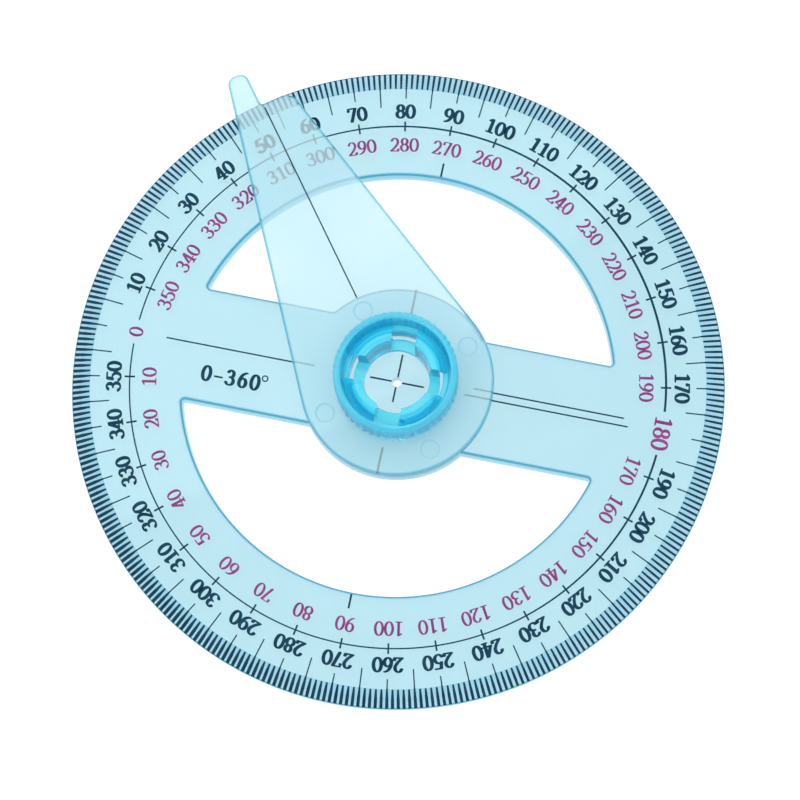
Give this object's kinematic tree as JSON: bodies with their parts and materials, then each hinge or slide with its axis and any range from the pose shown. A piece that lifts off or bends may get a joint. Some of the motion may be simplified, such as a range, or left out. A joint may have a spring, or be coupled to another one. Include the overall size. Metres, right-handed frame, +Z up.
{
  "type": "full-circle protractor",
  "caption": "Clear tinted full-circle protractor with two D-shaped windows, a swing pointer with a hairline, and a knurled knob held by snap claws.",
  "frame": {"origin": "centre of the dial's small hole, on its flat underside", "axes": "+X along the baseline towards the 180 mark, +Y towards the 90 mark, +Z up through the knob"},
  "size_m": [0.1, 0.1, 0.0085],
  "materials": {
    "pale_plate": "clear pale blue, glossy",
    "hazy_plate": "slightly hazy pale cyan, satin gloss",
    "deep_cyan": "clear deep cyan, glossy",
    "black_ink": "printed blue-black ink",
    "red_ink": "printed crimson ink"
  },
  "bodies": {
    "dial": {"dial_plate": "pale_plate", "snap_bush": "deep_cyan"},
    "pointer": {"pointer_arm": "hazy_plate", "knurled_knob": "deep_cyan"}
  },
  "joints": [
    {"name": "pointer_swing", "type": "hinge", "parent": "dial", "child": "pointer", "pos_m": [0, 0, 0.003], "axis": [0, 0, 1], "continuous": true}
  ]
}
